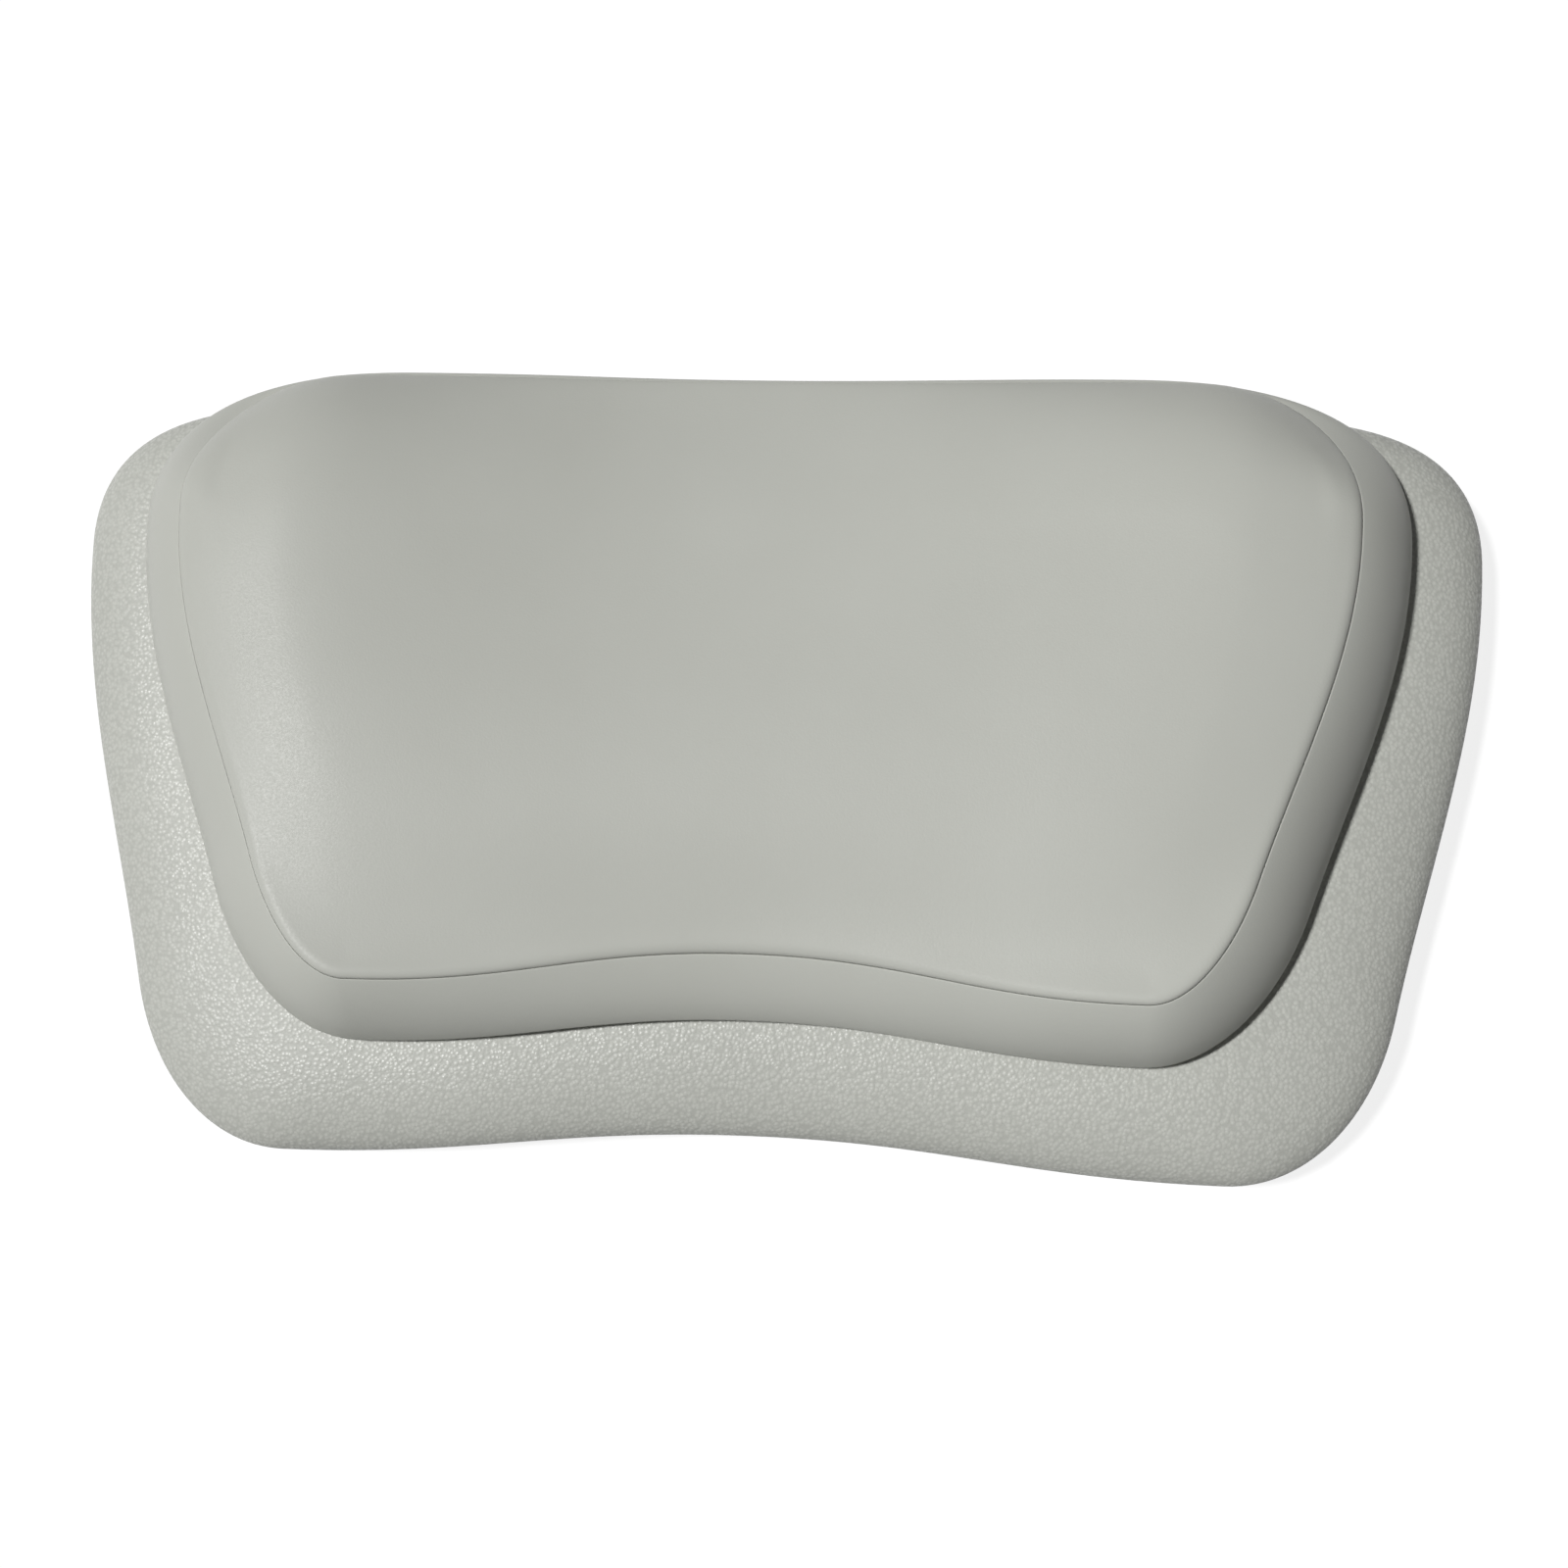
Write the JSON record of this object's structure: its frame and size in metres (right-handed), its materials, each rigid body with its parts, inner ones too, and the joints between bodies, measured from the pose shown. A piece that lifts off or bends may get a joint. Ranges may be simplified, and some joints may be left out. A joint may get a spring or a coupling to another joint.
{
  "type": "bath pillow",
  "caption": "Two-tier moulded bath pillow: cradle-shaped head cushion on a wide grained base pad, held to a bath's wall by swivelling suction cups behind.",
  "frame": {"origin": "under the pillow's middle, on the surface that the suction cups hold", "axes": "+X across the pillow's width, +Y towards its upper edge, +Z out of its face"},
  "size_m": [0.3, 0.1656, 0.0503],
  "materials": {
    "grained_skin": "warm grey moulded foam skin with a fine leather grain",
    "smooth_skin": "warm grey smooth moulded foam skin, satin",
    "foam": "cream open-cell foam",
    "board_plastic": "grey moulded board",
    "plate_plastic": "pale grey moulded plate, fine spark texture",
    "screw_steel": "stainless steel",
    "insert_brass": "plain brass",
    "cup_vinyl": "clear soft vinyl, slightly milky"
  },
  "bodies": {
    "pillow": {"base_pad": "grained_skin", "side_band": "smooth_skin", "crown_pad": "smooth_skin", "foam_core": "foam", "cushion_board": "board_plastic", "backing_plate": "plate_plastic", "clamp_screw_1": "screw_steel", "clamp_screw_2": "screw_steel", "clamp_screw_3": "screw_steel", "clamp_screw_4": "screw_steel", "clamp_screw_5": "screw_steel", "clamp_screw_6": "screw_steel", "threaded_insert_1": "insert_brass", "threaded_insert_2": "insert_brass", "threaded_insert_3": "insert_brass", "threaded_insert_4": "insert_brass", "threaded_insert_5": "insert_brass", "threaded_insert_6": "insert_brass"},
    "cup_1": {"suction_cup_1": "cup_vinyl"},
    "cup_2": {"suction_cup_2": "cup_vinyl"},
    "cup_3": {"suction_cup_3": "cup_vinyl"},
    "cup_4": {"suction_cup_4": "cup_vinyl"}
  },
  "joints": [
    {"name": "cup_1_swivel", "type": "hinge", "parent": "pillow", "child": "cup_1", "pos_m": [-0.088, 0.032, 0.0115], "axis": [0, 0, 1], "continuous": true},
    {"name": "cup_2_swivel", "type": "hinge", "parent": "pillow", "child": "cup_2", "pos_m": [0.088, 0.032, 0.0115], "axis": [0, 0, 1], "continuous": true},
    {"name": "cup_3_swivel", "type": "hinge", "parent": "pillow", "child": "cup_3", "pos_m": [-0.066, -0.038, 0.0115], "axis": [0, 0, 1], "continuous": true},
    {"name": "cup_4_swivel", "type": "hinge", "parent": "pillow", "child": "cup_4", "pos_m": [0.066, -0.038, 0.0115], "axis": [0, 0, 1], "continuous": true}
  ]
}
